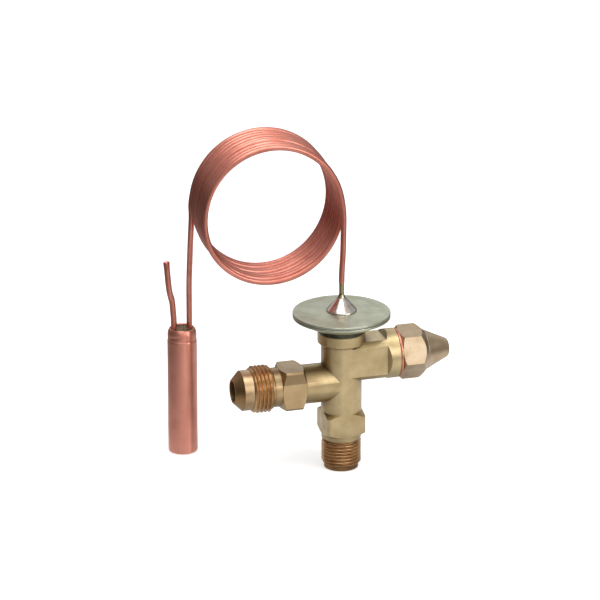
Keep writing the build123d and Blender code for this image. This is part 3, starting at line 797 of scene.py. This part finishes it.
def annealed_copper():
    """Copper washer, annealed soft: pink, matt and slightly scuffed by the cap."""
    material, shader, place = new_material("annealed_copper")
    scuffs = add_node(material, "TexNoise", Vector=place, Scale=1 / (1.5 * mm), Detail=4,
                      Roughness=0.6).outputs["Fac"]
    colour = add_node(material, "MixRGB", Fac=scuffs, Color1=linear("#E6AC94"),
                      Color2=linear("#B87460")).outputs["Color"]
    shader.inputs["Metallic"].default_value = 1
    shader.inputs["Roughness"].default_value = 0.4
    connect(material, colour, shader.inputs["Base Color"])
    return material


washer_outline = softened([
    (7.65 * mm, 22.3 * mm), (9.9 * mm, 22.3 * mm), (9.9 * mm, 23.3 * mm),
    (7.65 * mm, 23.3 * mm)], 0.3 * mm)
washer = skin("cap_washer_annealed", onto_adjuster(turned(washer_outline, 128)),
              annealed_copper())
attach(washer, "valve")
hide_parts("cap_washer")

# ---- works inside the valve ----------------------------------------------------------------
# Spindle, gland, wedge, springs, cartridge and strainer: turned, ground or coiled parts, which
# show only through the bores or with the cap off. All but the springs keep their own solids.
# Ground steel and spring wire are as matt as the covers, but a plain or a darker grey.
machined = turned_brass("free_cutting_brass", "#D8BC86", "#AC8A56", "Z", 0.3 * mm)
bright = pressed_stainless("ground_steel", "#B9B9B9", "#8F9092")
wire = pressed_stainless("spring_wire", "#8C8E92", "#5E6064")


def moulded_rubber():
    """Nitrile rubber, moulded: black and matt, with a faint bloom."""
    material, shader, place = new_material("moulded_rubber")
    bloom = add_node(material, "TexNoise", Vector=place, Scale=1 / (0.8 * mm)).outputs["Fac"]
    colour = add_node(material, "MixRGB", Fac=bloom, Color1=linear("#141414"),
                      Color2=linear("#2A2A2A")).outputs["Color"]
    shader.inputs["Roughness"].default_value = 0.7
    connect(material, colour, shader.inputs["Base Color"])
    return material


rubber = moulded_rubber()
finishes = {
    "gland_nut": machined, "wedge_slider": machined, "spring_seat": machined,
    "push_rod_guide": machined, "orifice_cartridge": machined, "cartridge_plug": machined,
    "strainer_frame": machined, "diaphragm": bright, "thrust_pad": bright, "push_rod": bright,
    "valve_needle": bright, "adjusting_spindle": bright, "spindle_washer": bright,
    "strainer_gauze": bright, "seam_weld": blackened, "spindle_seal": rubber,
    "cartridge_seal": rubber,
}
for node, finish in finishes.items():
    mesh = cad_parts[node].data
    mesh.materials.clear()
    mesh.materials.append(finish)

# Each spring is listed with the height of its seat and of its upper end, which goes down with
# the needle in the real valve. These heights are not used, and the spring is only copied with the
# wire finish.
spring_ends = {"cartridge_spring": (14 * mm, 22 * mm), "superheat_spring": (51.2 * mm, 61 * mm)}
for node, (seat, end) in spring_ends.items():
    spring = bpy.data.objects.new(node + "_wire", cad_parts[node].data.copy())
    bpy.context.collection.objects.link(spring)
    spring.data.materials.clear()
    spring.data.materials.append(wire)
    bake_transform(spring)
    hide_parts(node)

# ---- table, lamps and room --------------------------------------------------------------------
# A white table under large soft lamps, in a room that is darker low down and to the sides.
# Metal mirrors all of it, so the table's pale pool, which is painted light that only
# reflections see, and the room's ceiling shape the highlights.
table_half = 3.0                 # half its width, in metres
table_top = -0.1 * mm
pool_reach = 0.5                 # metres each way, within which the pool fades


def graded(material, value, stops):
    """Grey that follows a value between the stops, each of them a (place from 0 to 1, grey)."""
    ramp = add_node(material, "ValToRGB", Fac=value)
    steps = ramp.color_ramp.elements
    while len(steps) < len(stops):
        steps.new(0.5)
    for step, (place, grey) in zip(steps, stops):
        step.position = place
        step.color = (grey, grey, grey, 1)
    return ramp.outputs["Color"]


def white_table():
    """Plain white laminate, which the eye sees lifted to white with the valve's shadow kept. Metal
    sees in it a painted pool of light in front, about half a metre wide, which falls off behind
    the valve, far in front and to both sides, with a painted shadow close under the valve."""
    material, shader, place = new_material("white_laminate")
    rays = add_node(material, "LightPath").outputs
    across = add_node(material, "SeparateXYZ", Vector=place).outputs
    flat = add_node(material, "CombineXYZ", X=across["X"], Y=across["Y"]).outputs["Vector"]
    away = add_node(material, "VectorMath", operation="LENGTH")
    connect(material, flat, away.inputs[0])
    # painted shadow: the mirrored pool dims to four tenths within 2 to 7 cm of the valve's axis
    shadow_under_valve = add_node(material, "MapRange", Value=away.outputs["Value"], From_Min=0.02,
                    From_Max=0.07, To_Min=0.4).outputs["Result"]
    aside = add_node(material, "MapRange", Value=across["X"], From_Min=-pool_reach,
                     From_Max=pool_reach).outputs["Result"]
    side = graded(material, aside, [(0.28, 0.2), (0.38, 0.55), (0.47, 1), (0.6, 1), (0.74, 0.3)])
    ahead = add_node(material, "MapRange", Value=across["Y"], From_Min=-pool_reach,
                     From_Max=pool_reach).outputs["Result"]
    front = graded(material, ahead, [(0.05, 0.25), (0.14, 0.35), (0.3, 1), (0.48, 1), (0.8, 0.35)])
    pool = add_node(material, "MixRGB", blend_type="MULTIPLY", Fac=1.0, Color1=shadow_under_valve,
                    Color2=side).outputs["Color"]
    pool = add_node(material, "MixRGB", blend_type="MULTIPLY", Fac=1.0, Color1=pool,
                    Color2=front).outputs["Color"]
    # painted light: glossy rays see this glowing pool in place of the lit laminate
    painted_pool = add_node(material, "Emission", Color=pool, Strength=0.92)
    lift = add_node(material, "MapRange", Value=rays["Is Camera Ray"], To_Max=0.55)
    shader.inputs["Base Color"].default_value = linear("#E6E6E6")
    shader.inputs["Roughness"].default_value = 0.8
    shader.inputs["Emission Color"].default_value = (1, 1, 1, 1)
    connect(material, lift.outputs["Result"], shader.inputs["Emission Strength"])
    seen = add_node(material, "MixShader", Fac=rays["Is Glossy Ray"])
    connect(material, shader.outputs["BSDF"], seen.inputs[1])
    connect(material, painted_pool.outputs["Emission"], seen.inputs[2])
    out = material.node_tree.nodes["Material Output"]
    connect(material, seen.outputs["Shader"], out.inputs["Surface"])
    return material


table_mesh = bpy.data.meshes.new("table")
table_mesh.from_pydata([(table_half * x, table_half * y, table_top)
                        for x, y in ((-1, -1), (1, -1), (1, 1), (-1, 1))], [], [(0, 1, 2, 3)])
table = bpy.data.objects.new("table", table_mesh)
bpy.context.collection.objects.link(table)
table_mesh.materials.append(white_table())


def soft_lamp(name, place, width, height, watts):
    """Soft box that faces the valve's middle, placed and sized in metres."""
    data = bpy.data.lights.new(name, "AREA")
    data.shape = "RECTANGLE"
    data.size = width
    data.size_y = height
    data.energy = watts
    lamp = bpy.data.objects.new(name, data)
    lamp.location = place
    lamp.rotation_euler = (aim - lamp.location).to_track_quat("-Z", "Y").to_euler()
    bpy.context.collection.objects.link(lamp)


soft_lamp("front_lamp", (0.5, -1.22, 0.65), 1.0, 1.1, 2.5)
soft_lamp("strip_lamp", (0.78, -1.02, 0.5), 0.22, 0.9, 3)
soft_lamp("top_lamp", (-0.1, -0.2, 1.4), 1.1, 1.1, 10)

room = bpy.data.worlds.new("studio")
room.use_nodes = True
bpy.context.scene.world = room
heading = add_node(room, "SeparateXYZ", Vector=add_node(room, "TexCoord").outputs["Generated"])
# brightness by the sine of the height above the horizon, then by the side
rising = graded(room, heading.outputs["Z"], [
    (0.0, 0.15), (0.14, 0.35), (0.32, 1.1), (0.6, 0.75), (0.85, 0.5), (1.0, 0.8)])
sideways = add_node(room, "MapRange", Value=heading.outputs["X"], From_Min=-1, From_Max=1)
dimmed = graded(room, sideways.outputs["Result"], [
    (0.08, 0.2), (0.28, 0.65), (0.44, 1.0), (0.74, 1.0), (0.95, 0.35)])
walls = add_node(room, "Background", Color=rising, Strength=dimmed).outputs["Background"]
white = add_node(room, "Background", Color=(1, 1, 1, 1)).outputs["Background"]
shown = add_node(room, "MixShader", Fac=add_node(room, "LightPath").outputs["Is Camera Ray"])
connect(room, walls, shown.inputs[1])
connect(room, white, shown.inputs[2])
connect(room, shown.outputs["Shader"], room.node_tree.nodes["World Output"].inputs["Surface"])

bpy.context.scene.view_settings.view_transform = "Standard"
